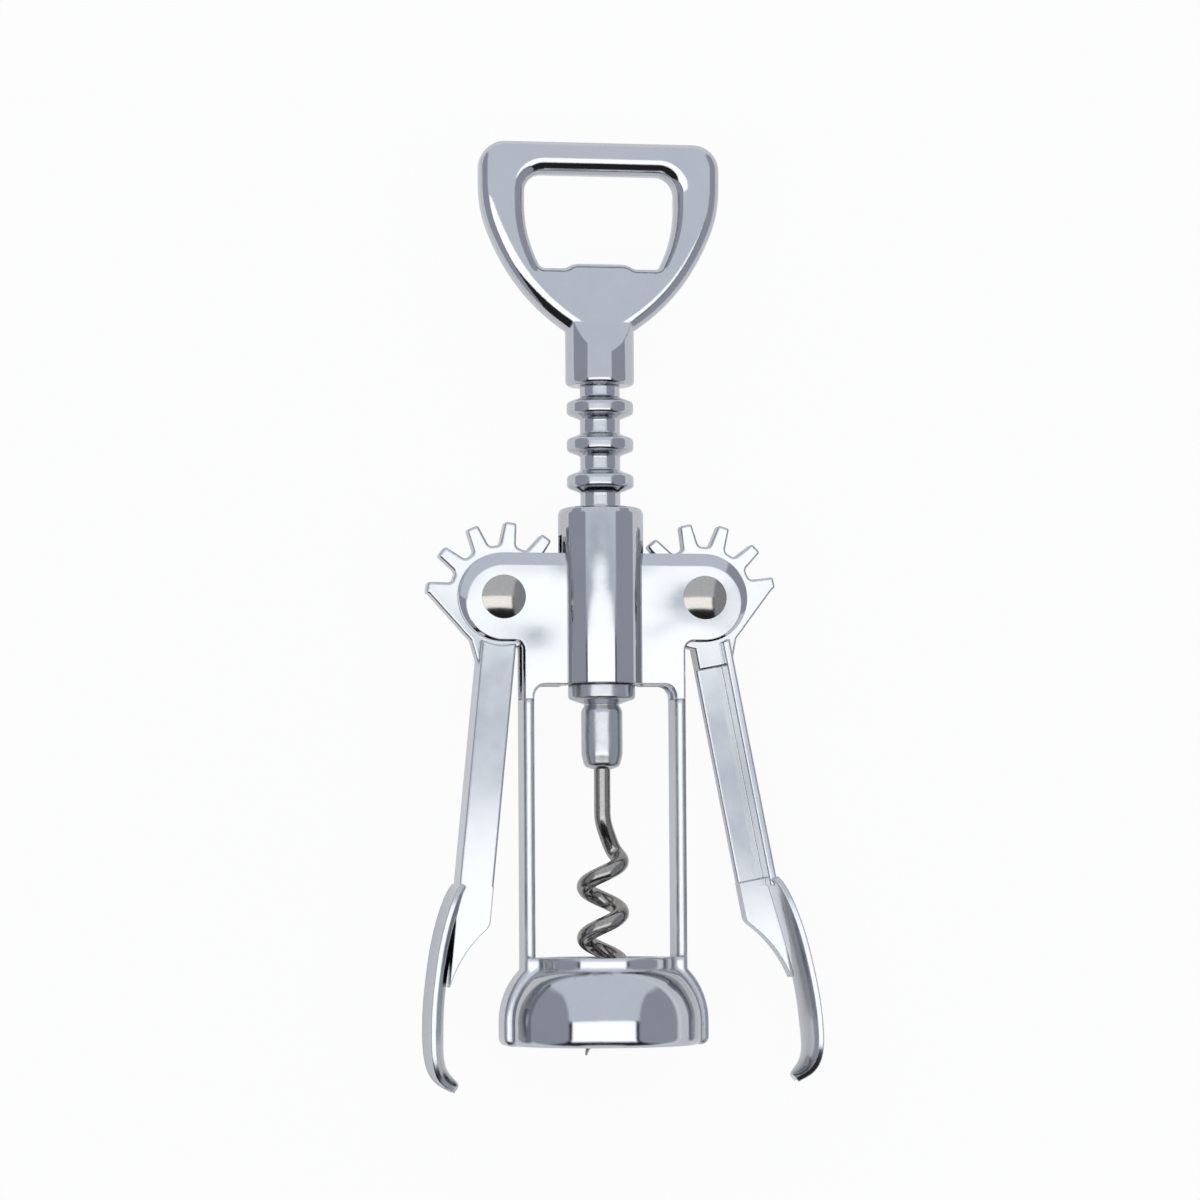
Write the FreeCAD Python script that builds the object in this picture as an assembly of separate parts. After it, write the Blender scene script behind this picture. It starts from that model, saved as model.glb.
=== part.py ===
import FreeCAD, Part
import math
import os

from FreeCAD import Placement, Rotation, Vector

# Wing corkscrew, all sizes in millimetres.
# The origin is the centre of the bell's mouth, on the axis of the screw.
# +Y runs along that axis to the handle, +Z out of the front face, +X to the right.

# ---- driving dimensions -------------------------------------------------------------

# bell, the cup that stands on the bottle's neck
BELL_HEIGHT = 16.5
BELL_RIM_RADIUS = 18.6
BELL_TOP_BAND = 2.2
BELL_SKIRT = 4.5
BELL_EDGE = 1.5
BELL_WALL = 3.4
NECK_BORE_DEPTH = 11.0
NECK_SEAT_WIDTH = 4.7
PAD_PROUD = 1.0

# uprights, the two straps between the bell's top band and the head
UPRIGHT_INNER = 13.5
BAND_PROUD = 0.1
UPRIGHT_THICKNESS = 2.1
FRAME_DEPTH = 8.0
UPRIGHT_EDGE = 0.95

# head, four wing plates round the levers and the barrel between them
PIVOT_HEIGHT = 84.5
WINDOW_BELOW_PIVOT = 16.7
WINDOW_CORNER = 2.3
SLOT_BELOW_PIVOT = 19.3
PLATE_THICKNESS = 2.0
LUG_RADIUS = 8.4
LUG_INNER_CORNER = 1.5
PLATE_BEVEL_DEPTH = 0.8
PLATE_TOP_BEVEL = 2.3
PLATE_SIDE_BEVEL = 0.35
BARREL_RADIUS = 8.1
BARREL_WALL = 1.42
BARREL_BELOW_PIVOT = 16.3
BARREL_ABOVE_PIVOT = 17.2
BARREL_EDGE = 1.2
BARREL_WINDOW_MARGIN = 3.0

# pivot rivets
RIVET_RADIUS = 2.5
RIVET_HEAD_RADIUS = 4.15
RIVET_HEAD_RIM = 0.35
RIVET_HEAD_DOME = 1.05

# rack, a row of rings that the lever teeth climb
RING_PITCH = 7.0
RING_COUNT = 8
RING_DEPTH = 2.55
RING_TIP_HEIGHT = 2.2
RING_ROOT_HEIGHT = 4.2
RING_TIP_ROUND = 0.8
RING_ROOT_ROUND = 0.5
FIRST_RING_BELOW_STEM = 4.3
RACK_FOOT = 3.6

# lever, one casting that serves left and right when it is turned over
TEETH_PER_TURN = 12
TEETH_BEFORE = 3
TEETH_AFTER = 3
TOOTH_OUTSIDE_RADIUS = 14.35
TOOTH_ROOT_RADIUS = 9.9
TOOTH_TIP_WIDTH = 2.2
TOOTH_ROOT_WIDTH = 3.3
TOOTH_TIP_ROUND = 0.5
TOOTH_ROOT_ROUND = 1.0
ARM_HALF_WIDTH = 3.25
ARM_START = 9.2
ARM_DEPTH = 8.0
ARM_WEB = 2.6
ARM_FLANGE = 1.5
LEVER_EDGE = 0.45
GRIP_WEB_ROUND = 2.5
GRIP_WEB_HOLLOW = 1.0
GRIP_START = 54.5
GRIP_WEB = 4.0
GRIP_LENGTH = 39.1
GRIP_HALF_WIDTH = 6.0
GRIP_WALL = 1.4
GRIP_DISH = 1.7
GRIP_WEB_CORNER = 62.0
GRIP_WEB_END = 74.0
ARM_ANGLE = 8.3
ARM_PLAY = 2.6

# screw: handle with its stem, spindle with collar and ferrule, wire worm
STEM_LENGTH = 10.3
STEM_EDGE = 0.9
STEM_FLAT_LENGTH = 5.8
STEM_IN_LOOP = 1.5
HANDLE_LENGTH = 36.3
HANDLE_HALF_WIDTH = 23.2
HANDLE_THICKNESS = 7.0
HANDLE_EDGE = 2.6
HANDLE_CORNER = 5.0
HANDLE_STRAIGHT_SIDE = 7.6
HANDLE_TOP_BAR = 6.2
OPENING_LENGTH = 18.0
OPENING_HALF_WIDTH = 14.6
OPENING_EDGE = 2.7
OPENING_CORNER = 3.6
OPENING_FOOT_CORNER = 1.2
OPENING_STRAIGHT_SIDE = 6.0
OPENING_BOW = 24.6
LIP_HALF_WIDTH = 6.3
LIP_HEIGHT = 0.9
LIP_TIP_ROUND = 4.0
LIP_ROOT_ROUND = 2.0
SPINDLE_RADIUS = 1.9
SPINDLE_IN_STEM = 9.0
COLLAR_BELOW_PIVOT = 19.1
COLLAR_HEIGHT = 2.6
COLLAR_ROUND = 0.7
NECK_RADIUS = 3.2
NECK_LENGTH = 1.1
FERRULE_RADIUS = 3.9
FERRULE_LENGTH = 13.3
FERRULE_ROUND = 2.8
FERRULE_TOP_ROUND = 1.2
FERRULE_MOUTH_RADIUS = 1.95
WIRE_RADIUS = 1.55
HELIX_RADIUS = 3.4
HELIX_PITCH = 9.7
HELIX_BELOW_FERRULE = 17.15
WORM_TIP = -1.8
WORM_TIP_ANGLE = 0
WORM_POINT_DIP = 2.8
WORM_SHANK_IN_FERRULE = 8.0
WORM_TIP_LENGTH = 8.0
WORM_POINT_TAPER = 0.88
WORM_BEND_LENGTH = 8.8
WORM_BEND_ANGLE = 50
WORM_BEND_STEPS = 11

# fits
PRESS_GAP = 0.02
RUNNING_GAP = 0.05
STEM_GAP = 0.13
RING_GAP = 0.33
LEVER_SIDE_GAP = 0.2
SLEEVE_END_GAP = 0.1

# ---- sizes that follow ----------------------------------------------------------------

BELL_TOP_RADIUS = UPRIGHT_INNER + BAND_PROUD
NECK_BORE_RADIUS = BELL_RIM_RADIUS - BELL_WALL
CROWN_HOLE_RADIUS = NECK_BORE_RADIUS - NECK_SEAT_WIDTH
UPRIGHT_OUTER = UPRIGHT_INNER + UPRIGHT_THICKNESS
WINDOW_TOP = PIVOT_HEIGHT - WINDOW_BELOW_PIVOT
SLOT_FLOOR = PIVOT_HEIGHT - SLOT_BELOW_PIVOT
PLATE_FRONT = FRAME_DEPTH / 2
PLATE_BACK = PLATE_FRONT - PLATE_THICKNESS
BARREL_BOTTOM = PIVOT_HEIGHT - BARREL_BELOW_PIVOT
BARREL_TOP = PIVOT_HEIGHT + BARREL_ABOVE_PIVOT
BARREL_BORE = BARREL_RADIUS - BARREL_WALL

RING_RADIUS = BARREL_BORE - RING_GAP
RACK_CORE_RADIUS = RING_RADIUS - RING_DEPTH
RACK_PITCH_LINE = RING_RADIUS - RING_DEPTH * 0.15
PITCH_RADIUS = TEETH_PER_TURN * RING_PITCH / (2 * math.pi)
PIVOT_OFFSET = RACK_PITCH_LINE + PITCH_RADIUS
LEVER_HEAD_THICKNESS = 2 * (PLATE_BACK - LEVER_SIDE_GAP)

STEM_RADIUS = BARREL_BORE - STEM_GAP
COLLAR_RADIUS = RING_RADIUS
COLLAR_BOTTOM = PIVOT_HEIGHT - COLLAR_BELOW_PIVOT
SLEEVE_BOTTOM = COLLAR_BOTTOM + COLLAR_HEIGHT + SLEEVE_END_GAP
FIRST_RING = SLEEVE_BOTTOM + RACK_FOOT + (RING_COUNT - 1) * RING_PITCH
STEM_BOTTOM = FIRST_RING + FIRST_RING_BELOW_STEM
HANDLE_NECK = STEM_BOTTOM + STEM_LENGTH
HANDLE_TOP = HANDLE_NECK + HANDLE_LENGTH
OPENING_TOP = HANDLE_TOP - HANDLE_TOP_BAR
OPENING_BOTTOM = OPENING_TOP - OPENING_LENGTH
FERRULE_BOTTOM = COLLAR_BOTTOM - FERRULE_LENGTH
HELIX_TOP = FERRULE_BOTTOM - HELIX_BELOW_FERRULE
WORM_BEND_TOP = HELIX_TOP + WORM_BEND_LENGTH
HELIX_BOTTOM = WORM_TIP + WORM_POINT_DIP
SLEEVE_TOP = STEM_BOTTOM - SLEEVE_END_GAP

ARC_SLANT = 1 - math.sqrt(0.5)

AXIS = Vector(0, 1, 0)
FRONT = Vector(0, 0, 1)
ORIGIN = Vector(0, 0, 0)


# ---- small helpers ----------------------------------------------------------------------

def line(a, b):
    return Part.LineSegment(a, b).toShape()


def arc(a, middle, b):
    return Part.Arc(a, middle, b).toShape()


def polygon(points):
    """A closed wire of straight edges."""
    return Part.makePolygon(points + [points[0]])


def slab(wire, bottom, top):
    """The area inside a wire in the XY plane, from one height to another."""
    face = Part.Face(wire)
    face.translate(Vector(0, 0, bottom))
    return face.extrude(Vector(0, 0, top - bottom))


def box(x0, x1, y0, y1, z0, z1):
    return Part.makeBox(x1 - x0, y1 - y0, z1 - z0, Vector(x0, y0, z0))


def rod(radius, y0, y1):
    """A cylinder on the axis of the screw."""
    return Part.makeCylinder(radius, y1 - y0, Vector(0, y0, 0), AXIS)


def turned(edges):
    """A solid of revolution about the screw's axis from a closed half section."""
    return Part.Face(Part.Wire(edges)).revolve(ORIGIN, AXIS, 360)


def turned_polygon(points):
    """A turned solid whose half section is a list of (radius, height) corners."""
    return Part.Face(polygon([Vector(r, y, 0) for r, y in points])).revolve(ORIGIN, AXIS, 360)


def rounded_path(corners):
    """Closed chain of edges through (x, y, radius) corners; a radius of 0 leaves one sharp."""
    points = [Vector(x, y, 0) for x, y, _ in corners]
    bends = []
    for k, (x, y, radius) in enumerate(corners):
        before = (points[k] - points[k - 1]).normalize()
        after = (points[(k + 1) % len(points)] - points[k]).normalize()
        half_turn = before.getAngle(after) / 2
        reach = radius * math.tan(half_turn)
        inward = (after - before).normalize() * radius * (1 / math.cos(half_turn) - 1)
        bends.append((points[k] - before * reach, points[k] + inward, points[k] + after * reach))
    edges = []
    for k, (start, middle, end) in enumerate(bends):
        edges.append(line(bends[k - 1][2], start))
        if corners[k][2]:
            edges.append(arc(start, middle, end))
    return edges


def mirrored_x(shape):
    return shape.mirror(ORIGIN, Vector(1, 0, 0))


def mirrored_z(shape):
    return shape.mirror(ORIGIN, FRONT)


def is_along(edge, direction):
    """Whether an edge is straight and runs along a direction."""
    if edge.Curve.TypeId != "Part::GeomLine":
        return False
    return abs(abs(edge.tangentAt(edge.FirstParameter).dot(direction)) - 1) < 1e-6


def fused(first, others):
    return first.multiFuse(others).removeSplitter()


# ---- bell ---------------------------------------------------------------------------------

def bell_flank(rim, top_radius):
    """Edges of the bell's outside, from its rounded rim up the skirt to the shoulder."""
    shoulder = BELL_HEIGHT - BELL_TOP_BAND
    fall = rim - top_radius
    rise = shoulder - BELL_SKIRT
    radius = (fall * fall + rise * rise) / (2 * fall)
    half = math.asin(rise / radius) / 2
    inside = Vector(rim - BELL_EDGE, 0, 0)
    corner = Vector(rim - BELL_EDGE * ARC_SLANT, BELL_EDGE * ARC_SLANT, 0)
    foot = Vector(rim, BELL_EDGE, 0)
    start = Vector(rim, BELL_SKIRT, 0)
    middle = Vector(rim - radius * (1 - math.cos(half)), BELL_SKIRT + radius * math.sin(half), 0)
    end = Vector(top_radius, shoulder, 0)
    flank = Part.Arc(start, middle, end).toBSpline().toShape()
    return [arc(inside, corner, foot), line(foot, start), flank]


def bell_section(rim, top_radius, root):
    """Closed half section between a root radius and the outside."""
    inner_top = Vector(root, BELL_HEIGHT, 0)
    outer_top = Vector(top_radius, BELL_HEIGHT, 0)
    shoulder = Vector(top_radius, BELL_HEIGHT - BELL_TOP_BAND, 0)
    foot = Vector(root, 0, 0)
    return [
        *bell_flank(rim, top_radius),
        line(shoulder, outer_top),
        line(outer_top, inner_top),
        line(inner_top, foot),
        line(foot, Vector(rim - BELL_EDGE, 0, 0)),
    ]


def bell_pad():
    """The strap's foot, which runs on down the right-hand side of the bell to its rim."""
    root = UPRIGHT_INNER - PAD_PROUD
    outline = Part.Wire(bell_section(BELL_RIM_RADIUS + PAD_PROUD, UPRIGHT_OUTER, root))
    pad = slab(outline, -PLATE_FRONT, PLATE_FRONT)
    outer_edges = [
        edge for edge in pad.Edges
        if edge.CenterOfMass.x > UPRIGHT_OUTER - 1e-6
        and edge.BoundBox.ZLength < 1e-6
        and edge.CenterOfMass.y > BELL_EDGE
    ]
    return pad.makeFillet(UPRIGHT_EDGE, outer_edges)


def bell():
    body = turned(bell_section(BELL_RIM_RADIUS, BELL_TOP_RADIUS, 0))
    pad = bell_pad()
    body = fused(body, [pad, mirrored_x(pad)])
    neck_bore = rod(NECK_BORE_RADIUS, -1, NECK_BORE_DEPTH)
    crown_hole = rod(CROWN_HOLE_RADIUS, 0, BELL_HEIGHT + 1)
    return body.cut(neck_bore).cut(crown_hole)


def upright():
    """The right-hand strap, from the bell's top to the floor of the lever slot."""
    bar = box(UPRIGHT_INNER, UPRIGHT_OUTER, BELL_HEIGHT, SLOT_FLOOR, -PLATE_FRONT, PLATE_FRONT)
    return bar.makeFillet(UPRIGHT_EDGE, [edge for edge in bar.Edges if is_along(edge, AXIS)])


# ---- head ---------------------------------------------------------------------------------

def wing_outline(top_inset, side_inset, height):
    """Outline of the right-hand wing plate at one height, shrunk for the bevel."""
    inner_x = BARREL_BORE - 0.5
    lug_radius = LUG_RADIUS - (top_inset + side_inset) / 2
    lug_y = PIVOT_HEIGHT - (top_inset - side_inset) / 2
    lug_top = lug_y + lug_radius
    lug_bottom = lug_y - lug_radius
    outer = UPRIGHT_OUTER - side_inset
    inner = UPRIGHT_INNER + side_inset
    edge_y = WINDOW_TOP + side_inset
    turn = WINDOW_CORNER
    bend = LUG_INNER_CORNER + side_inset

    def at(x, y):
        return Vector(x, y, height)

    return Part.Wire([
        line(at(inner_x, edge_y), at(inner - turn, edge_y)),
        arc(
            at(inner - turn, edge_y),
            at(inner - turn * ARC_SLANT, edge_y - turn * ARC_SLANT),
            at(inner, edge_y - turn),
        ),
        line(at(inner, edge_y - turn), at(inner, SLOT_FLOOR)),
        line(at(inner, SLOT_FLOOR), at(outer, SLOT_FLOOR)),
        line(at(outer, SLOT_FLOOR), at(outer, lug_bottom - bend)),
        arc(
            at(outer, lug_bottom - bend),
            at(outer + bend * ARC_SLANT, lug_bottom - bend * ARC_SLANT),
            at(outer + bend, lug_bottom),
        ),
        line(at(outer + bend, lug_bottom), at(PIVOT_OFFSET, lug_bottom)),
        arc(
            at(PIVOT_OFFSET, lug_bottom),
            at(PIVOT_OFFSET + lug_radius, lug_y),
            at(PIVOT_OFFSET, lug_top),
        ),
        line(at(PIVOT_OFFSET, lug_top), at(inner_x, lug_top)),
        line(at(inner_x, lug_top), at(inner_x, edge_y)),
    ])


def wing_plate():
    """Front plate on the right: flat back, broad bevel along its top and round the lug."""
    bevel_start = PLATE_FRONT - PLATE_BEVEL_DEPTH
    flat = slab(wing_outline(0, 0, 0), PLATE_BACK, bevel_start)
    foot = wing_outline(0, 0, bevel_start)
    crown = wing_outline(PLATE_TOP_BEVEL, PLATE_SIDE_BEVEL, PLATE_FRONT)
    bevelled = Part.makeLoft([foot, crown], True, True)
    plate = flat.fuse(bevelled).removeSplitter()
    plate = plate.cut(rod(BARREL_RADIUS, 0, HANDLE_TOP))
    hole = Part.makeCylinder(
        RIVET_RADIUS + PRESS_GAP, FRAME_DEPTH, Vector(PIVOT_OFFSET, PIVOT_HEIGHT, -PLATE_FRONT), FRONT
    )
    return plate.cut(hole)


def barrel():
    edge = BARREL_EDGE
    tube = turned_polygon([
        (BARREL_BORE, BARREL_BOTTOM),
        (BARREL_RADIUS, BARREL_BOTTOM),
        (BARREL_RADIUS, BARREL_TOP - edge),
        (BARREL_RADIUS - edge * ARC_SLANT, BARREL_TOP - edge * ARC_SLANT),
        (BARREL_RADIUS - edge, BARREL_TOP),
        (BARREL_BORE, BARREL_TOP),
    ])
    reach = PIVOT_OFFSET - BARREL_RADIUS
    half = math.sqrt(TOOTH_OUTSIDE_RADIUS ** 2 - reach ** 2) + BARREL_WINDOW_MARGIN
    slots = box(
        -BARREL_RADIUS - 1,
        BARREL_RADIUS + 1,
        PIVOT_HEIGHT - half,
        PIVOT_HEIGHT + half,
        -PLATE_BACK,
        PLATE_BACK,
    )
    return tube.cut(slots)


def rivet():
    """A round-headed rivet through the right-hand lug, closed to the same head behind."""
    crown = PLATE_FRONT + RIVET_HEAD_RIM
    tip = crown + RIVET_HEAD_DOME
    ball = (RIVET_HEAD_RADIUS ** 2 + RIVET_HEAD_DOME ** 2) / (2 * RIVET_HEAD_DOME)
    half = math.asin(RIVET_HEAD_RADIUS / ball) / 2
    middle = Vector(ball * math.sin(half), 0, tip - ball * (1 - math.cos(half)))
    section = Part.Wire([
        line(Vector(0, 0, 0), Vector(RIVET_RADIUS, 0, 0)),
        line(Vector(RIVET_RADIUS, 0, 0), Vector(RIVET_RADIUS, 0, PLATE_FRONT)),
        line(Vector(RIVET_RADIUS, 0, PLATE_FRONT), Vector(RIVET_HEAD_RADIUS, 0, PLATE_FRONT)),
        line(Vector(RIVET_HEAD_RADIUS, 0, PLATE_FRONT), Vector(RIVET_HEAD_RADIUS, 0, crown)),
        arc(Vector(RIVET_HEAD_RADIUS, 0, crown), middle, Vector(0, 0, tip)),
        line(Vector(0, 0, tip), Vector(0, 0, 0)),
    ])
    half_rivet = Part.Face(section).revolve(ORIGIN, FRONT, 360)
    whole = half_rivet.fuse(mirrored_z(half_rivet)).removeSplitter()
    whole.translate(Vector(PIVOT_OFFSET, PIVOT_HEIGHT, 0))
    return whole


# ---- lever --------------------------------------------------------------------------------
# The lever is drawn with its pivot at the origin, its arm pointing down (-Y), its outer
# side to the right (+X) and its flat face to the back (-Z).

def tooth_phase():
    """Angle of the top tooth, so that a ring of the rack stands midway between two teeth."""
    rings_up = round((FIRST_RING - PIVOT_HEIGHT) / RING_PITCH)
    ring_above = FIRST_RING - rings_up * RING_PITCH - PIVOT_HEIGHT
    gap_angle = 90 - math.degrees(ring_above / PITCH_RADIUS)
    spacing = 360 / TEETH_PER_TURN
    return (gap_angle - ARM_ANGLE + spacing / 2) % spacing


def tooth(angle):
    root = TOOTH_ROOT_RADIUS - 1.5
    shape = slab(
        polygon([
            Vector(-TOOTH_ROOT_WIDTH / 2, root, 0),
            Vector(TOOTH_ROOT_WIDTH / 2, root, 0),
            Vector(TOOTH_TIP_WIDTH / 2, TOOTH_OUTSIDE_RADIUS, 0),
            Vector(-TOOTH_TIP_WIDTH / 2, TOOTH_OUTSIDE_RADIUS, 0),
        ]),
        -LEVER_HEAD_THICKNESS / 2,
        LEVER_HEAD_THICKNESS / 2,
    )
    tips = [
        edge for edge in shape.Edges
        if is_along(edge, FRONT) and edge.CenterOfMass.y > TOOTH_ROOT_RADIUS
    ]
    shape = shape.makeFillet(TOOTH_TIP_ROUND, tips)
    shape.rotate(ORIGIN, FRONT, angle)
    return shape


def lever_head():
    """The toothed disc, with the last outer tooth running straight into the arm."""
    half = LEVER_HEAD_THICKNESS / 2
    phase = tooth_phase()
    spacing = 360 / TEETH_PER_TURN
    disc = Part.makeCylinder(TOOTH_ROOT_RADIUS, LEVER_HEAD_THICKNESS, Vector(0, 0, -half), FRONT)
    teeth = [tooth(phase + spacing * k) for k in range(-TEETH_BEFORE, TEETH_AFTER + 1)]
    last = math.radians(phase - spacing * TEETH_BEFORE)
    outward = Vector(-math.sin(last), math.cos(last), 0)
    below = Vector(outward.y, -outward.x, 0)
    tip = outward * (TOOTH_OUTSIDE_RADIUS - TOOTH_TIP_ROUND) + below * (TOOTH_TIP_WIDTH / 2)
    web = slab(
        polygon([
            ORIGIN,
            outward * TOOTH_ROOT_RADIUS,
            tip,
            Vector(ARM_HALF_WIDTH * 1.55, -ARM_START * 0.95, 0),
            Vector(ARM_HALF_WIDTH, -ARM_START * 1.45, 0),
            Vector(-ARM_HALF_WIDTH, -ARM_START * 1.45, 0),
            Vector(-ARM_HALF_WIDTH, 0, 0),
        ]),
        -half,
        half,
    )
    head = fused(disc, teeth + [web])
    gullets = [
        edge for edge in head.Edges
        if is_along(edge, FRONT)
        and abs(math.hypot(edge.CenterOfMass.x, edge.CenterOfMass.y) - TOOTH_ROOT_RADIUS) < 0.3
        and edge.CenterOfMass.y > -ARM_HALF_WIDTH
    ]
    head = head.makeFillet(TOOTH_ROOT_ROUND, gullets)
    rims = [edge for edge in head.Edges if abs(abs(edge.CenterOfMass.z) - half) < 1e-6]
    return head.makeFillet(LEVER_EDGE, rims)


def arm():
    """Web with a flange along its outer edge, and a thicker web where the grip starts."""
    back = -ARM_DEPTH / 2
    inner = -ARM_HALF_WIDTH
    outer = ARM_HALF_WIDTH
    clear = ARM_START
    start = math.sqrt(clear ** 2 - ARM_HALF_WIDTH ** 2)
    web_end = GRIP_START + ARM_FLANGE
    web = slab(
        Part.Wire([
            arc(Vector(inner, -start, 0), Vector(0, -clear, 0), Vector(outer, -start, 0)),
            line(Vector(outer, -start, 0), Vector(outer, -web_end, 0)),
            line(Vector(outer, -web_end, 0), Vector(inner, -web_end, 0)),
            line(Vector(inner, -web_end, 0), Vector(inner, -start, 0)),
        ]),
        back,
        back + ARM_WEB,
    )
    web = web.makeFillet(LEVER_EDGE, [
        edge for edge in web.Edges
        if is_along(edge, AXIS) and (edge.CenterOfMass.x < 0 or edge.CenterOfMass.z < back + 0.1)
    ])
    flange = box(outer - ARM_FLANGE, outer, -web_end, -start, back, -back)
    flange = flange.makeFillet(LEVER_EDGE, [
        edge for edge in flange.Edges
        if is_along(edge, AXIS) and (edge.CenterOfMass.x > outer - 0.1 or edge.CenterOfMass.z > 0)
    ])
    hollow = Vector(
        GRIP_WEB_HOLLOW * 0.88, -(GRIP_WEB_CORNER + GRIP_WEB_END) / 2 + GRIP_WEB_HOLLOW * 0.48, 0
    )
    thick = slab(
        Part.Wire([
            line(Vector(inner, -GRIP_START, 0), Vector(outer, -GRIP_START, 0)),
            line(Vector(outer, -GRIP_START, 0), Vector(outer, -GRIP_WEB_END, 0)),
            arc(Vector(outer, -GRIP_WEB_END, 0), hollow, Vector(inner, -GRIP_WEB_CORNER, 0)),
            line(Vector(inner, -GRIP_WEB_CORNER, 0), Vector(inner, -GRIP_START, 0)),
        ]),
        back,
        back + GRIP_WEB,
    )
    thick = thick.makeFillet(GRIP_WEB_ROUND, [
        edge for edge in thick.Edges
        if is_along(edge, FRONT) and edge.CenterOfMass.x < 0 and edge.CenterOfMass.y < -web_end
    ])
    clearance = Part.makeCylinder(clear, ARM_DEPTH, Vector(0, 0, back), FRONT)
    return fused(web, [flange.cut(clearance), thick])


def grip_section(point, normal, half_width, dish, wall):
    """One crescent across the finger grip: hollow on the outside, round on the inside."""
    def at(depth, z):
        return point - normal * depth + Vector(0, 0, z)

    rim = wall * 0.7
    return Part.Wire([
        arc(at(0, -half_width), at(dish, 0), at(0, half_width)),
        line(at(0, half_width), at(rim, half_width)),
        arc(at(rim, half_width), at(dish + wall, 0), at(rim, -half_width)),
        line(at(rim, -half_width), at(0, -half_width)),
    ])


def grip():
    """Finger grip: a shell along the arm's outer edge, bowed outwards and hooked at its tip."""
    # share of the length, offset outside the arm, turn of the section, width and dish factors
    stations = (
        (0.000, 0.00, 22, 0.88, 0.15),
        (0.075, 1.30, 16, 0.98, 0.55),
        (0.170, 2.20, 11, 1.00, 0.85),
        (0.300, 2.95, 6, 1.00, 1.00),
        (0.460, 3.30, 1, 1.00, 1.00),
        (0.620, 3.30, -3, 1.00, 1.00),
        (0.760, 2.85, -12, 0.98, 1.00),
        (0.860, 2.15, -26, 0.92, 0.95),
        (0.930, 1.00, -40, 0.80, 0.90),
        (0.980, -1.20, -54, 0.56, 0.70),
        (1.000, -3.00, -62, 0.32, 0.30),
    )
    wires = []
    for share, offset, turn, width, dish in stations:
        point = Vector(ARM_HALF_WIDTH + offset, -GRIP_START - share * GRIP_LENGTH, 0)
        angle = math.radians(turn)
        normal = Vector(math.cos(angle), math.sin(angle), 0)
        wires.append(grip_section(point, normal, GRIP_HALF_WIDTH * width, GRIP_DISH * dish, GRIP_WALL))
    return Part.makeLoft(wires, True, False)


def lever():
    body = fused(lever_head(), [arm(), grip()])
    bore = Part.makeCylinder(
        RIVET_RADIUS + RUNNING_GAP, ARM_DEPTH, Vector(0, 0, -ARM_DEPTH / 2), FRONT
    )
    return body.cut(bore)


def right_lever():
    shape = lever()
    shape.rotate(ORIGIN, FRONT, ARM_ANGLE + ARM_PLAY)
    shape.translate(Vector(PIVOT_OFFSET, PIVOT_HEIGHT, 0))
    return shape


def left_lever():
    """The same casting turned over about the screw's axis."""
    shape = lever()
    shape.rotate(ORIGIN, AXIS, 180)
    shape.rotate(ORIGIN, FRONT, -(ARM_ANGLE - ARM_PLAY))
    shape.translate(Vector(-PIVOT_OFFSET, PIVOT_HEIGHT, 0))
    return shape


# ---- rack and screw -------------------------------------------------------------------------

def rack_sleeve():
    tip = RING_TIP_HEIGHT / 2
    root = RING_ROOT_HEIGHT / 2
    bore = SPINDLE_RADIUS + RUNNING_GAP
    corners = [(bore, SLEEVE_BOTTOM, 0), (RACK_CORE_RADIUS, SLEEVE_BOTTOM, 0)]
    for k in reversed(range(RING_COUNT)):
        middle = FIRST_RING - k * RING_PITCH
        corners += [
            (RACK_CORE_RADIUS, middle - root, RING_ROOT_ROUND),
            (RING_RADIUS, middle - tip, RING_TIP_ROUND),
            (RING_RADIUS, middle + tip, RING_TIP_ROUND),
            (RACK_CORE_RADIUS, middle + root, RING_ROOT_ROUND),
        ]
    corners += [(RACK_CORE_RADIUS, SLEEVE_TOP, 0), (bore, SLEEVE_TOP, 0)]
    return turned(rounded_path(corners))


def spindle():
    """Turned rod with the collar that stops the rack and the ferrule that holds the worm."""
    top = STEM_BOTTOM + SPINDLE_IN_STEM
    collar_top = COLLAR_BOTTOM + COLLAR_HEIGHT
    neck = COLLAR_BOTTOM - NECK_LENGTH
    shoulder = neck - FERRULE_TOP_ROUND
    mouth_edge = FERRULE_MOUTH_RADIUS + FERRULE_ROUND * 0.5
    body = turned(rounded_path([
        (0, FERRULE_BOTTOM, 0),
        (FERRULE_MOUTH_RADIUS, FERRULE_BOTTOM, 0),
        (mouth_edge, FERRULE_BOTTOM + FERRULE_ROUND * 0.18, FERRULE_ROUND * 0.4),
        (FERRULE_RADIUS, FERRULE_BOTTOM + FERRULE_ROUND, FERRULE_ROUND),
        (FERRULE_RADIUS, shoulder, FERRULE_TOP_ROUND),
        (NECK_RADIUS, neck, 0),
        (COLLAR_RADIUS, COLLAR_BOTTOM, COLLAR_ROUND),
        (COLLAR_RADIUS, collar_top, 0),
        (SPINDLE_RADIUS, collar_top, 0),
        (SPINDLE_RADIUS, top, 0),
        (0, top, 0),
    ]))
    socket = rod(WIRE_RADIUS + PRESS_GAP, FERRULE_BOTTOM - 1, FERRULE_BOTTOM + WORM_SHANK_IN_FERRULE)
    return body.cut(socket)


def worm_direction(height):
    """Unit vector from the screw's axis towards the wire, at a height on the turns."""
    tip_angle = math.radians(180 + WORM_TIP_ANGLE)
    angle = tip_angle - 2 * math.pi * (height - HELIX_BOTTOM) / HELIX_PITCH
    return Vector(math.cos(angle), 0, math.sin(angle))


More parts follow.
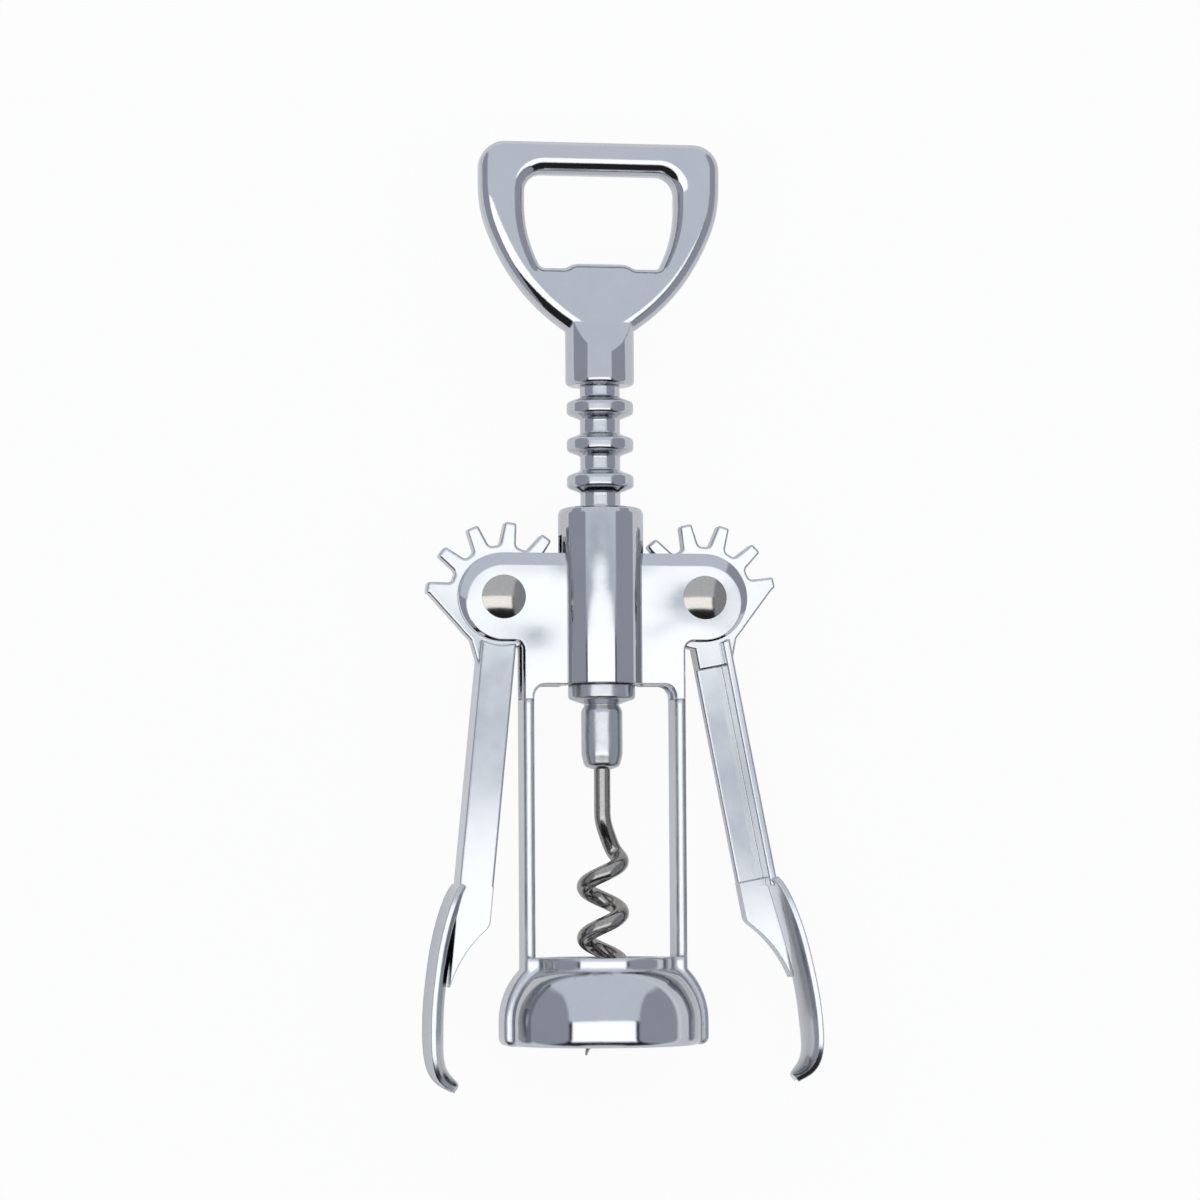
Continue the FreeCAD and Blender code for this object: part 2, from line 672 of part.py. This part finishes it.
def worm_centre(height):
    """Centre of the wire: on the helix, and above it swinging in to the axis."""
    if height <= HELIX_TOP:
        return worm_direction(height) * HELIX_RADIUS + AXIS * height
    share = (height - HELIX_TOP) / WORM_BEND_LENGTH
    reach = HELIX_RADIUS * (1 - share * share * (3 - 2 * share))
    # the wire leaves the helix at the helix's own rate of turn, then turns less and less
    lead = 360 * WORM_BEND_LENGTH / HELIX_PITCH - 2 * WORM_BEND_ANGLE
    angle = WORM_BEND_ANGLE * share * (2 - share) + lead * share * (1 - share) ** 4
    return Rotation(AXIS, angle).multVec(worm_direction(HELIX_TOP)) * reach + AXIS * height


def worm_forward(height):
    """Direction of the wire on the turns, towards the tip."""
    slope = HELIX_PITCH / (2 * math.pi)
    return worm_direction(height).cross(AXIS) * HELIX_RADIUS - AXIS * slope


def worm_section(height, radius, dip=0, steepening=0):
    """Round section of the wire on the turns, square to its direction."""
    centre = worm_centre(height) - AXIS * dip
    forward = worm_forward(height) - AXIS * steepening
    return Part.Wire([Part.Circle(centre, forward, radius).toShape()])


def worm_bend():
    """The wire from the end of its straight shank out to the first turn."""
    points = []
    for k in range(WORM_BEND_STEPS + 1):
        points.append(worm_centre(WORM_BEND_TOP - WORM_BEND_LENGTH * k / WORM_BEND_STEPS))
    path = Part.BSplineCurve()
    path.interpolate(Points=points, InitialTangent=-AXIS * WIRE_RADIUS)
    section = Part.Wire([Part.Circle(points[0], -AXIS, WIRE_RADIUS).toShape()])
    return Part.Wire([path.toShape()]).makePipeShell([section], True, True)


def worm_turns(bottom):
    """The round turns of the wire, from the start of its point up to the bend."""
    path = Part.makeHelix(HELIX_PITCH, HELIX_TOP - bottom, HELIX_RADIUS)
    path.rotate(ORIGIN, Vector(1, 0, 0), -90)
    start = worm_direction(bottom)
    path.rotate(ORIGIN, AXIS, -math.degrees(math.atan2(start.z, start.x)))
    path.translate(AXIS * bottom)
    return Part.Wire(path.Edges).makePipeShell([worm_section(bottom, WIRE_RADIUS)], True, True)


def worm_point(start):
    """The last part of the wire, bent down from the helix and ground to a blunt point."""
    steps = 8
    fall = start - HELIX_BOTTOM
    slope = HELIX_PITCH / (2 * math.pi)
    sections = []
    for k in range(steps + 1):
        share = k / steps
        radius = WIRE_RADIUS * (1 - WORM_POINT_TAPER * share ** 1.3)
        dip = WORM_POINT_DIP * share ** 2
        steepening = 2 * WORM_POINT_DIP * share * slope / fall
        sections.append(worm_section(start - fall * share, radius, dip, steepening))
    return Part.makeLoft(sections, True, False)


def worm():
    """Steel wire: a straight shank, a bend out to the helix, right-hand turns, a ground point."""
    slope = HELIX_PITCH / (2 * math.pi)
    point_start = HELIX_BOTTOM + WORM_TIP_LENGTH * slope / math.hypot(slope, HELIX_RADIUS)
    shank = rod(WIRE_RADIUS, WORM_BEND_TOP, FERRULE_BOTTOM + WORM_SHANK_IN_FERRULE)
    return shank.multiFuse([worm_bend(), worm_turns(point_start), worm_point(point_start)])


# ---- opener handle --------------------------------------------------------------------------

def mirrored_outline(edges):
    """Closed symmetric wire from the edges of its right half, which starts and ends on the axis."""
    right = Part.Wire(edges)
    left = mirrored_x(right)
    return Part.Wire(Part.__sortEdges__(right.Edges + left.Edges))


def handle_outside():
    """The handle's outline with square top corners: a straight top and sides swept in to the neck."""
    side = HANDLE_HALF_WIDTH
    rise = HANDLE_TOP - HANDLE_NECK
    neck = Vector(STEM_RADIUS * 0.95, HANDLE_NECK, 0)
    side_foot = Vector(side, HANDLE_TOP - HANDLE_STRAIGHT_SIDE, 0)
    sweep = Part.BSplineCurve()
    sweep.interpolate(
        Points=[
            neck,
            Vector(side * 0.69, HANDLE_NECK + rise * 0.25, 0),
            Vector(side * 0.915, HANDLE_NECK + rise * 0.505, 0),
            side_foot,
        ],
        InitialTangent=Vector(9, 6, 0),
        FinalTangent=Vector(0, 10, 0),
    )
    corner = Vector(side, HANDLE_TOP, 0)
    return mirrored_outline([
        line(Vector(0, neck.y, 0), neck),
        sweep.toShape(),
        line(side_foot, corner),
        line(corner, Vector(0, HANDLE_TOP, 0)),
    ])


def opening_outline():
    """The opener's hole: straight top, bowed sides, and the lip that lifts a crown cap."""
    side = OPENING_HALF_WIDTH
    bottom = OPENING_BOTTOM
    lip = bottom + LIP_HEIGHT
    rounds = LIP_TIP_ROUND + LIP_ROOT_ROUND
    slope = math.acos(1 - LIP_HEIGHT / rounds)
    run = rounds * math.sin(slope)
    lip_end = LIP_HALF_WIDTH + LIP_HEIGHT - run
    lip_foot = LIP_HALF_WIDTH + LIP_HEIGHT

    def on_tip(angle):
        fall = LIP_TIP_ROUND * (1 - math.cos(angle))
        return Vector(lip_end + LIP_TIP_ROUND * math.sin(angle), lip - fall, 0)

    def on_root(angle):
        rise = LIP_ROOT_ROUND * (1 - math.cos(angle))
        return Vector(lip_foot - LIP_ROOT_ROUND * math.sin(angle), bottom + rise, 0)

    bow_top = OPENING_TOP - OPENING_STRAIGHT_SIDE
    half = math.asin((bow_top - bottom) / OPENING_BOW) / 2
    bow_foot = Vector(side - OPENING_BOW * (1 - math.cos(2 * half)), bottom, 0)
    bow_middle = Vector(
        side - OPENING_BOW * (1 - math.cos(half)), bow_top - OPENING_BOW * math.sin(half), 0
    )
    return mirrored_outline([
        line(Vector(0, lip, 0), on_tip(0)),
        arc(on_tip(0), on_tip(slope / 2), on_tip(slope)),
        arc(on_root(slope), on_root(slope / 2), on_root(0)),
        line(on_root(0), bow_foot),
        arc(bow_foot, bow_middle, Vector(side, bow_top, 0)),
        line(Vector(side, bow_top, 0), Vector(side, OPENING_TOP, 0)),
        line(Vector(side, OPENING_TOP, 0), Vector(0, OPENING_TOP, 0)),
    ])


def with_round_corners(shape, radius, y_low, y_high, x_least):
    """Rounds the upright corners of a slab that stand between two heights, away from the axis."""
    corners = [
        edge for edge in shape.Edges
        if is_along(edge, FRONT)
        and y_low < edge.CenterOfMass.y < y_high
        and abs(edge.CenterOfMass.x) > x_least
    ]
    return shape.makeFillet(radius, corners)


def opener_handle():
    half = HANDLE_THICKNESS / 2
    loop = slab(handle_outside(), -half, half)
    loop = with_round_corners(loop, HANDLE_CORNER, HANDLE_TOP - 1, HANDLE_TOP + 1, STEM_RADIUS)
    rims = [
        edge for edge in loop.Edges
        if abs(abs(edge.CenterOfMass.z) - half) < 1e-6 and edge.BoundBox.YMax > HANDLE_NECK + 1
    ]
    loop = loop.makeFillet(HANDLE_EDGE, rims)
    hole = slab(opening_outline(), -half - 1, half + 1)
    hole = with_round_corners(hole, OPENING_CORNER, OPENING_TOP - 1, OPENING_TOP + 1, STEM_RADIUS)
    hole = with_round_corners(
        hole, OPENING_FOOT_CORNER, OPENING_BOTTOM - 1, OPENING_BOTTOM + 1, LIP_HALF_WIDTH + 2
    )
    loop = loop.cut(hole)
    hole_rims = [
        edge for edge in loop.Edges
        if abs(abs(edge.CenterOfMass.z) - half) < 1e-6
        and edge.BoundBox.YMax < OPENING_TOP + 0.1
        and edge.BoundBox.YMin > OPENING_BOTTOM - 0.1
        and abs(edge.CenterOfMass.x) < OPENING_HALF_WIDTH + 0.1
    ]
    loop = loop.makeFillet(OPENING_EDGE, hole_rims)
    stem = rod(STEM_RADIUS, STEM_BOTTOM, HANDLE_NECK + STEM_IN_LOOP)
    stem = stem.makeFillet(STEM_EDGE, [
        edge for edge in stem.Edges if abs(edge.CenterOfMass.y - STEM_BOTTOM) < 1e-6
        and edge.BoundBox.YLength < 1e-6
    ])
    flat_top = HANDLE_NECK + STEM_IN_LOOP
    outside = STEM_RADIUS + 1
    outside_y = flat_top - STEM_FLAT_LENGTH * (outside - half) / (STEM_RADIUS - half)
    facet = Part.Face(polygon([
        Vector(0, flat_top, half),
        Vector(0, outside_y, outside),
        Vector(0, flat_top, outside),
    ])).extrude(Vector(2 * outside, 0, 0))
    facet.translate(Vector(-outside, 0, 0))
    stem = stem.cut(facet).cut(mirrored_z(facet))
    body = fused(loop, [stem])
    socket = rod(SPINDLE_RADIUS + PRESS_GAP, STEM_BOTTOM - 1, STEM_BOTTOM + SPINDLE_IN_STEM + RUNNING_GAP)
    return body.cut(socket)


# ---- all pieces -------------------------------------------------------------------------------

def pieces():
    plate = wing_plate()
    strap = upright()
    pin = rivet()
    return {
        "bell": bell(),
        "left_upright": mirrored_x(strap),
        "right_upright": strap,
        "left_front_plate": mirrored_x(plate),
        "right_front_plate": plate,
        "left_back_plate": mirrored_z(mirrored_x(plate)),
        "right_back_plate": mirrored_z(plate),
        "barrel": barrel(),
        "left_rivet": mirrored_x(pin),
        "right_rivet": pin,
        "left_lever": left_lever(),
        "right_lever": right_lever(),
        "rack_sleeve": rack_sleeve(),
        "spindle": spindle(),
        "worm": worm(),
        "opener_handle": opener_handle(),
    }


os.makedirs("parts", exist_ok=True)
for name, shape in pieces().items():
    solids = shape.Solids
    box_of = shape.BoundBox
    print(
        f"{name}: {len(solids)} solid, valid {shape.isValid()}, {shape.Volume:.1f} mm3,"
        f" x {box_of.XMin:.2f} {box_of.XMax:.2f} y {box_of.YMin:.2f} {box_of.YMax:.2f}"
        f" z {box_of.ZMin:.2f} {box_of.ZMax:.2f}"
    )
    shape.exportStep(os.path.join("parts", name + ".step"))
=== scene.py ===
import math

import bpy
from mathutils import Matrix, Vector

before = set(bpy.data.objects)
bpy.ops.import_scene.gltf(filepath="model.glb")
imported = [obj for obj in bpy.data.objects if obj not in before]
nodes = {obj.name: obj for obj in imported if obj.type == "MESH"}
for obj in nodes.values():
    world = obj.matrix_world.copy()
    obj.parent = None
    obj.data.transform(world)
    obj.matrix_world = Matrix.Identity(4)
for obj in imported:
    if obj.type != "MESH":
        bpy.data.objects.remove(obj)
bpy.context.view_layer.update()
bpy.ops.object.select_all(action="DESELECT")


# ---- camera ---------------------------------------------------------------------------------
# A long lens looks down on the front of the corkscrew, which lies on the back of its round bell
# and is rolled a little to one side. The lens stands a little towards the bell's end.

VIEW_YAW = math.radians(10.5)
VIEW_PITCH = math.radians(-3.6)
VIEW_ROLL = math.radians(-0.36)
VIEW_DISTANCE = 0.85
FRAME_WIDTH = 0.228
SENSOR_WIDTH_MM = 36.0
FARTHEST_SEEN = 20.0
aim = Vector((-0.0002, 0.0842, 0.0))

toward_lens = Vector((
    -math.sin(VIEW_YAW) * math.cos(VIEW_PITCH),
    math.sin(VIEW_PITCH),
    math.cos(VIEW_YAW) * math.cos(VIEW_PITCH),
))
right_in_view = Vector((0, 1, 0)).cross(toward_lens).normalized()
up_in_view = toward_lens.cross(right_in_view)
upright_view = Matrix((right_in_view, up_in_view, toward_lens)).transposed()

camera_data = bpy.data.cameras.new("camera")
camera_data.sensor_width = SENSOR_WIDTH_MM
camera_data.lens = SENSOR_WIDTH_MM * VIEW_DISTANCE / FRAME_WIDTH
camera_data.clip_end = FARTHEST_SEEN
camera = bpy.data.objects.new("camera", camera_data)
camera.location = aim + toward_lens * VIEW_DISTANCE
camera.rotation_euler = (upright_view @ Matrix.Rotation(VIEW_ROLL, 3, "Z")).to_euler()
bpy.context.scene.collection.objects.link(camera)
bpy.context.scene.camera = camera
bpy.context.scene.view_settings.view_transform = "Standard"


# ---- studio ---------------------------------------------------------------------------------
# A plain studio stands round the table. A broad white panel faces the tool, under a grey wall
# and a grey ceiling, over a dark gap, and between two darker side walls.

# Heights and sides are those of a direction of length 1, seen from the tool.
PANEL_TOP = 0.0755
PANEL_FOOT = -0.42
PANEL_SIDE = 0.605
GAP_FOOT = -0.97
WALL_FOOT_HEIGHT = 0.015
SIDE_WALLS = 0.66
SIDE_WALLS_TOP = 0.72
BEHIND_TOOL = -0.13

# Levels of light, as linear red, green, blue and alpha.
PANEL = (0.88, 0.89, 0.9, 1)
GREY_WALL = (0.39, 0.41, 0.455, 1)
WALL_FOOT = (0.28, 0.3, 0.335, 1)
SIDE_WALL = (0.198, 0.208, 0.24, 1)
BACK_WALL = (0.45, 0.46, 0.49, 1)
DARK_GAP = (0.012, 0.012, 0.014, 1)
BACKGROUND_WHITE = (0.985, 0.985, 0.985, 1)
ROOM_LIGHT = 2.0


def add_node(tree, kind, settings=None, **links):
    """A node with its settings and its links.

    A link is an input's name and the value or the socket that it gets. An input that shares its
    name with another is given by its number instead, as _6.
    """
    node = tree.nodes.new(kind)
    for name, value in (settings or {}).items():
        setattr(node, name, value)
    for name, value in links.items():
        key = int(name[1:]) if name[1:].isdigit() else name.replace("_", " ")
        if isinstance(value, bpy.types.NodeSocket):
            tree.links.new(value, node.inputs[key])
        else:
            node.inputs[key].default_value = value
    return node


world = bpy.data.worlds.new("studio")
bpy.context.scene.world = world
world.use_nodes = True
studio = world.node_tree
studio.nodes.clear()
direction = add_node(studio, "ShaderNodeTexCoord").outputs["Generated"]
turned = add_node(
    studio, "ShaderNodeMapping", {"vector_type": "POINT"}, Vector=direction, Rotation=(0, VIEW_YAW, 0)
)
axes = add_node(studio, "ShaderNodeSeparateXYZ", Vector=turned.outputs[0])
height = axes.outputs["Y"]
nearness = axes.outputs["Z"]
sideways = add_node(
    studio, "ShaderNodeMath", {"operation": "ABSOLUTE"}, _0=axes.outputs["X"]
).outputs[0]
above_panel = add_node(
    studio, "ShaderNodeMath", {"operation": "MULTIPLY_ADD"}, _0=nearness, _1=-PANEL_TOP, _2=height
).outputs[0]


def edge_between(value, middle, softness):
    """0 below a value, 1 above it, with a soft step between."""
    step = add_node(
        studio,
        "ShaderNodeMapRange",
        {"interpolation_type": "SMOOTHSTEP"},
        Value=value,
        From_Min=middle - softness,
        From_Max=middle + softness,
    )
    return step.outputs[0]


def blended(share, below, above):
    """One colour below an edge and another above it."""
    mix = add_node(studio, "ShaderNodeMix", {"data_type": "RGBA"}, _0=share, _6=below, _7=above)
    return mix.outputs[2]


# The room is painted from the panel outwards, each wall over what stands behind it.
room = blended(edge_between(sideways, PANEL_SIDE, softness=0.01), PANEL, DARK_GAP)
wall_rises = edge_between(above_panel, WALL_FOOT_HEIGHT, softness=WALL_FOOT_HEIGHT)
wall = blended(wall_rises, WALL_FOOT, GREY_WALL)
room = blended(edge_between(above_panel, 0.0, softness=0.002), room, wall)
room = blended(edge_between(height, PANEL_FOOT, softness=0.02), DARK_GAP, room)
room = blended(edge_between(height, GAP_FOOT, softness=0.01), BACK_WALL, room)
side_wall = blended(edge_between(height, SIDE_WALLS_TOP, softness=0.06), SIDE_WALL, GREY_WALL)
room = blended(edge_between(sideways, SIDE_WALLS, softness=0.015), room, side_wall)
room = blended(edge_between(nearness, BEHIND_TOOL, softness=0.04), BACK_WALL, room)

lit_room = add_node(studio, "ShaderNodeBackground", None, Color=room, Strength=ROOM_LIGHT)
seen_white = add_node(studio, "ShaderNodeBackground", None, Color=BACKGROUND_WHITE, Strength=1.0)
light_path = add_node(studio, "ShaderNodeLightPath")
sky = add_node(
    studio,
    "ShaderNodeMixShader",
    None,
    _0=light_path.outputs["Is Camera Ray"],
    _1=lit_room.outputs[0],
    _2=seen_white.outputs[0],
)
add_node(studio, "ShaderNodeOutputWorld", None, Surface=sky.outputs[0])


# ---- table ----------------------------------------------------------------------------------
# A sheet of white paper on the table, under the tool. It touches the back of the bell and falls
# away towards the handle, so that the raised levers and the handle, turned edge on, clear it.

TABLE_SLOPE = math.radians(-2.2)
TABLE_WIDTH = 0.27
TABLE_MIDDLE = 0.0842
BELL_BACK = 0.0188
BELL_TOUCHES = 0.0045
PAPER_WHITE = (0.98, 0.98, 0.98, 1)
GLOW_WHITE = (1, 1, 1, 1)
GLOW_SEEN = 0.93
GLOW_MIRRORED = 0.35

bpy.ops.mesh.primitive_plane_add(size=TABLE_WIDTH, location=(0, 0, 0))
table = bpy.context.object
table.name = "table"
table.rotation_euler = (TABLE_SLOPE, -VIEW_YAW, 0)
table.location = (
    BELL_BACK * math.sin(VIEW_YAW),
    TABLE_MIDDLE,
    -BELL_BACK * math.cos(VIEW_YAW) + (TABLE_MIDDLE - BELL_TOUCHES) * math.tan(TABLE_SLOPE),
)


def start_material(name):
    """A new material and its empty node tree."""
    material = bpy.data.materials.new(name)
    material.use_nodes = True
    material.node_tree.nodes.clear()
    return material, material.node_tree


# Matt white paper: plain white to the eye, with a faint shadow, and a pale grey in the chrome.
white_paper, paper = start_material("white_paper")
matt = add_node(paper, "ShaderNodeBsdfDiffuse", None, Color=PAPER_WHITE)
glow = add_node(paper, "ShaderNodeEmission", None, Color=GLOW_WHITE, Strength=1.0)
light_path = add_node(paper, "ShaderNodeLightPath")
mirrored = add_node(
    paper,
    "ShaderNodeMath",
    {"operation": "MULTIPLY"},
    _0=light_path.outputs["Is Glossy Ray"],
    _1=GLOW_MIRRORED,
)
glow_share = add_node(
    paper,
    "ShaderNodeMath",
    {"operation": "MULTIPLY_ADD"},
    _0=light_path.outputs["Is Camera Ray"],
    _1=GLOW_SEEN,
    _2=mirrored.outputs[0],
)
sheet = add_node(
    paper,
    "ShaderNodeMixShader",
    None,
    _0=glow_share.outputs[0],
    _1=matt.outputs[0],
    _2=glow.outputs[0],
)
add_node(paper, "ShaderNodeOutputMaterial", None, Surface=sheet.outputs[0])
table.data.materials.append(white_paper)


# ---- frame casting ----------------------------------------------------------------------------
# One zinc die casting, polished by hand and plated with bright chrome: bell, uprights, wing
# plates and barrel. The polishing leaves shallow hollows that bend what the chrome mirrors.

CHROME_DARK = "#C1C4C8"
CHROME_PALE = "#CBCDD0"
CHROME_ROUGHNESS = 0.05
HAZIEST = 1.7
HAZE_SIZE = 0.006
RIPPLE_SIZE = 0.0025
RIPPLE_HEIGHT = 0.000002
RIPPLE_STRENGTH = 0.5
EDGE_SAMPLES = 6
NOISE_LOW = 0.3
NOISE_HIGH = 0.7


def linear(hex_colour):
    """A written sRGB colour such as #C4C6C8 as linear red, green, blue and alpha."""
    values = [int(hex_colour[k:k + 2], 16) / 255 for k in (1, 3, 5)]
    return [v / 12.92 if v <= 0.04045 else ((v + 0.055) / 1.055) ** 2.4 for v in values] + [1.0]


def finish_metal(tree, colour, roughness, normal):
    """Closes a material as bare or plated metal."""
    metal = add_node(
        tree,
        "ShaderNodeBsdfPrincipled",
        None,
        Base_Color=colour,
        Metallic=1.0,
        Roughness=roughness,
        Normal=normal,
    )
    add_node(tree, "ShaderNodeOutputMaterial", None, Surface=metal.outputs[0])


def bright_chrome(
    name,
    hollow_size,
    hollow_depth,
    edge_round,
    rough=CHROME_ROUGHNESS,
    swell_length=None,
    swell_height=0.0,
    swell_start=0.0,
):
    """Bright chrome on polished zinc: a cool mirror with soft waves and a faint haze of wiping.

    Sizes are in metres. A swell is a wave along the tool, and its start is an angle.
    """
    material, tree = start_material(name)
    place = add_node(tree, "ShaderNodeTexCoord").outputs["Object"]
    surface = add_node(tree, "ShaderNodeBevel", {"samples": EDGE_SAMPLES}, Radius=edge_round)
    if swell_length:
        wave = add_node(
            tree,
            "ShaderNodeTexWave",
            {"bands_direction": "Y"},
            Vector=place,
            Scale=math.pi / (10 * swell_length),
            Phase_Offset=swell_start,
        )
        surface = add_node(
            tree,
            "ShaderNodeBump",
            None,
            Strength=1.0,
            Distance=swell_height,
            Height=wave.outputs["Fac"],
            Normal=surface.outputs[0],
        )
    hollows = add_node(
        tree, "ShaderNodeTexNoise", None, Vector=place, Scale=1 / hollow_size, Detail=1.0
    )
    surface = add_node(
        tree,
        "ShaderNodeBump",
        None,
        Strength=1.0,
        Distance=hollow_depth,
        Height=hollows.outputs["Fac"],
        Normal=surface.outputs[0],
    )
    ripples = add_node(
        tree, "ShaderNodeTexNoise", None, Vector=place, Scale=1 / RIPPLE_SIZE, Detail=2.0
    )
    surface = add_node(
        tree,
        "ShaderNodeBump",
        None,
        Strength=RIPPLE_STRENGTH,
        Distance=RIPPLE_HEIGHT,
        Height=ripples.outputs["Fac"],
        Normal=surface.outputs[0],
    )
    haze = add_node(
        tree,
        "ShaderNodeTexNoise",
        None,
        Vector=place,
        Scale=1 / HAZE_SIZE,
        Detail=5.0,
        Roughness=0.6,
    ).outputs["Fac"]
    roughness = add_node(
        tree,
        "ShaderNodeMapRange",
        None,
        Value=haze,
        From_Min=NOISE_LOW,
        From_Max=NOISE_HIGH,
        To_Min=rough,
        To_Max=rough * HAZIEST,
    )
    tint = add_node(
        tree,
        "ShaderNodeMix",
        {"data_type": "RGBA"},
        _0=haze,
        _6=linear(CHROME_DARK),
        _7=linear(CHROME_PALE),
    )
    finish_metal(tree, tint.outputs[2], roughness.outputs[0], surface.outputs[0])
    return material


def finish_node(name, material):
    """Gives a piece of the tool its finish."""
    nodes[name].data.materials.clear()
    nodes[name].data.materials.append(material)


bell_chrome = bright_chrome(
    "bright_chrome_on_the_bell", hollow_size=0.018, hollow_depth=0.0002, edge_round=0.0011
)
for name in ("bell", "left_upright", "right_upright"):
    finish_node(name, bell_chrome)

plate_chrome = bright_chrome(
    "bright_chrome_on_the_wing_plates", hollow_size=0.018, hollow_depth=0.00022, edge_round=0.0004
)
for name in ("left_front_plate", "right_front_plate", "left_back_plate", "right_back_plate"):
    finish_node(name, plate_chrome)

barrel_chrome = bright_chrome(
    "bright_chrome_on_the_barrel",
    hollow_size=0.012,
    hollow_depth=0.00003,
    edge_round=0.0004,
    rough=0.04,
    swell_length=0.1,
    swell_height=0.0001,
    swell_start=4.71,
)
finish_node("barrel", barrel_chrome)


# ---- levers -------------------------------------------------------------------------------------
# Two of the same zinc casting, with teeth, an arm and a finger grip, plated as the frame is. The
# long flat arms are polished on a wheel, which leaves one long swell along each arm.

left_lever_chrome = bright_chrome(
    "bright_chrome_on_the_left_lever",
    hollow_size=0.02,
    hollow_depth=0.0001,
    edge_round=0.0004,
    rough=0.12,
    swell_length=0.09,
    swell_height=0.00115,
    swell_start=0.66,
)
finish_node("left_lever", left_lever_chrome)

right_lever_chrome = bright_chrome(
    "bright_chrome_on_the_right_lever",
    hollow_size=0.02,
    hollow_depth=0.0001,
    edge_round=0.0003,
    rough=0.12,
    swell_length=0.11,
    swell_height=0.0019,
    swell_start=2.14,
)
finish_node("right_lever", right_lever_chrome)


# ---- rack and handle ----------------------------------------------------------------------------
# The ringed sleeve is turned, which leaves fine grooves round it, and the handle is cast. Both
# have bright chrome. They are small and well rounded, so polishing leaves them nearly true.

ring_chrome = bright_chrome(
    "bright_chrome_on_turned_rings",
    hollow_size=0.004,
    hollow_depth=0.00003,
    edge_round=0.0004,
    rough=0.07,
    swell_length=0.00015,
    swell_height=0.0000014,
)
finish_node("rack_sleeve", ring_chrome)

handle_chrome = bright_chrome(
    "bright_chrome_on_the_handle", hollow_size=0.02, hollow_depth=0.0001, edge_round=0.0005
)
finish_node("opener_handle", handle_chrome)


# ---- spindle ------------------------------------------------------------------------------------
# A turned steel rod with its collar and the ferrule that is pressed round the worm. Its chrome is
# thinner and more satin than the castings' because the rod is only turned, not polished.

rod_chrome = bright_chrome(
    "satin_chrome_on_turned_steel",
    hollow_size=0.004,
    hollow_depth=0.00012,
    edge_round=0.0004,
    rough=0.17,
)
finish_node("spindle", rod_chrome)


# ---- rivets -------------------------------------------------------------------------------------
# Two steel rivets with round heads, barrel plated with nickel after heading. They hold the levers
# between the wing plates.

NICKEL_DARK = "#B0ADA6"
NICKEL_PALE = "#C0BDB6"
NICKEL_ROUGHNESS = 0.15
GRAIN_SIZE = 0.0004
GRAIN_HEIGHT = 0.000004
GRAIN_STRENGTH = 0.4

# Tumbled nickel: duller and warmer than the chrome round it, with a fine grain from tumbling.
nickel_plate, nickel = start_material("tumbled_nickel_plate")
place = add_node(nickel, "ShaderNodeTexCoord").outputs["Object"]
grain = add_node(
    nickel, "ShaderNodeTexNoise", None, Vector=place, Scale=1 / GRAIN_SIZE, Detail=3.0
).outputs["Fac"]
grainy = add_node(
    nickel, "ShaderNodeBump", None, Strength=GRAIN_STRENGTH, Distance=GRAIN_HEIGHT, Height=grain
)
tone = add_node(
    nickel,
    "ShaderNodeMix",
    {"data_type": "RGBA"},
    _0=grain,
    _6=linear(NICKEL_DARK),
    _7=linear(NICKEL_PALE),
)
finish_metal(nickel, tone.outputs[2], NICKEL_ROUGHNESS, grainy.outputs[0])
finish_node("left_rivet", nickel_plate)
finish_node("right_rivet", nickel_plate)


# ---- worm ---------------------------------------------------------------------------------------
# Drawn steel wire, bent to a helix and ground to a point. Its upper end is pressed into the
# ferrule, and it is left bare.

STEEL_DARK = "#85827E"
STEEL_PALE = "#B8B5B0"
STEEL_SMOOTHEST = 0.12
STEEL_ROUGHEST = 0.22
STREAK_SIZE = 0.0009
STREAK_TWIST = 1.5
STREAK_HEIGHT = 0.000014
STREAK_STRENGTH = 0.6

# Bare drawn steel: darker than the plated pieces, with uneven streaks from the drawing die.
steel_wire, wire = start_material("drawn_steel_wire")
place = add_node(wire, "ShaderNodeTexCoord").outputs["Object"]
streaks = add_node(
    wire,
    "ShaderNodeTexNoise",
    None,
    Vector=place,
    Scale=1 / STREAK_SIZE,
    Detail=4.0,
    Distortion=STREAK_TWIST,
).outputs["Fac"]
streaky = add_node(
    wire, "ShaderNodeBump", None, Strength=STREAK_STRENGTH, Distance=STREAK_HEIGHT, Height=streaks
)
tone = add_node(
    wire,
    "ShaderNodeMix",
    {"data_type": "RGBA"},
    _0=streaks,
    _6=linear(STEEL_DARK),
    _7=linear(STEEL_PALE),
)
roughness = add_node(
    wire,
    "ShaderNodeMapRange",
    None,
    Value=streaks,
    From_Min=NOISE_LOW,
    From_Max=NOISE_HIGH,
    To_Min=STEEL_SMOOTHEST,
    To_Max=STEEL_ROUGHEST,
)
finish_metal(wire, tone.outputs[2], roughness.outputs[0], streaky.outputs[0])
finish_node("worm", steel_wire)
